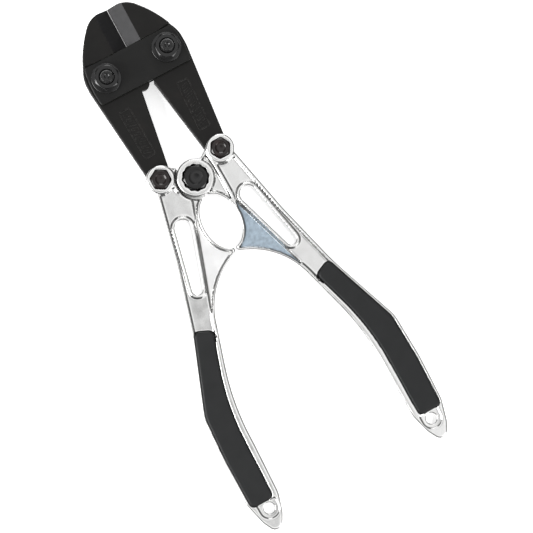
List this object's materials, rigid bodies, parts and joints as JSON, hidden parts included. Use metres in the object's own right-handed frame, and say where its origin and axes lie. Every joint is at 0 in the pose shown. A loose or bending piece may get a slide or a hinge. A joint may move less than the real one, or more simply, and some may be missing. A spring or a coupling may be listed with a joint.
{
  "type": "bolt cutter",
  "caption": "Compact hand bolt cutter with two centre-cut jaws between side plates and two slotted cast handles with grip inserts.",
  "frame": {"origin": "under the middle of the closed tool's bounding box, on the plane that the blade bolt heads stand on", "axes": "+Y along the tool towards the jaws, +Z out of the front face, +X to the right seen from the front"},
  "size_m": [0.127, 0.3022, 0.0271],
  "materials": {
    "blade_steel": "satin black oxide on forged steel, with bright ground cutting faces",
    "plate_steel": "satin black",
    "zinc_black_steel": "semi-gloss black plated",
    "fastener_steel": "semi-gloss black plated",
    "handle_alloy": "polished die casting",
    "grip_rubber": "satin moulded rubber"
  },
  "bodies": {
    "head": {"front_plate": "plate_steel", "rear_plate": "plate_steel", "left_blade_bolt": "zinc_black_steel", "left_blade_nut": "zinc_black_steel", "left_blade_washer": "zinc_black_steel", "right_blade_bolt": "zinc_black_steel", "right_blade_nut": "zinc_black_steel", "right_blade_washer": "zinc_black_steel"},
    "left_blade": {"left_blade": "blade_steel"},
    "right_blade": {"right_blade": "blade_steel"},
    "left_handle": {"left_handle": "handle_alloy", "left_handle_bolt": "fastener_steel", "left_handle_nut": "fastener_steel", "left_grip_front": "grip_rubber", "left_grip_rear": "grip_rubber"},
    "right_handle": {"right_handle": "handle_alloy", "right_handle_bolt": "fastener_steel", "right_handle_nut": "fastener_steel", "right_grip_front": "grip_rubber", "right_grip_rear": "grip_rubber", "centre_bolt": "fastener_steel", "centre_nut": "fastener_steel", "centre_washer": "fastener_steel"}
  },
  "joints": [
    {"name": "right_handle_pivot", "type": "hinge", "parent": "right_blade", "child": "right_handle", "pos_m": [0.019, 0.05255, 0.0114], "axis": [0, 0, 1], "range_deg": [0, 35.9]},
    {"name": "left_handle_pivot", "type": "hinge", "parent": "left_blade", "child": "left_handle", "pos_m": [-0.019, 0.05255, 0.0114], "axis": [0, 0, -1], "range_deg": [0, 35.9]},
    {"name": "left_blade_pivot", "type": "hinge", "parent": "head", "child": "left_blade", "pos_m": [-0.019, 0.11655, 0.0114], "axis": [0, 0, 1], "range_deg": [0, 5.7]},
    {"name": "right_blade_pivot", "type": "hinge", "parent": "head", "child": "right_blade", "pos_m": [0.019, 0.11655, 0.0114], "axis": [0, 0, -1], "range_deg": [0, 5.7]}
  ],
  "couplings": [
    {"joint": "left_handle_pivot", "follows": "right_handle_pivot", "ratio": 1},
    {"joint": "left_blade_pivot", "follows": "right_handle_pivot", "ratio": 0.158},
    {"joint": "right_blade_pivot", "follows": "right_handle_pivot", "ratio": 0.158}
  ]
}
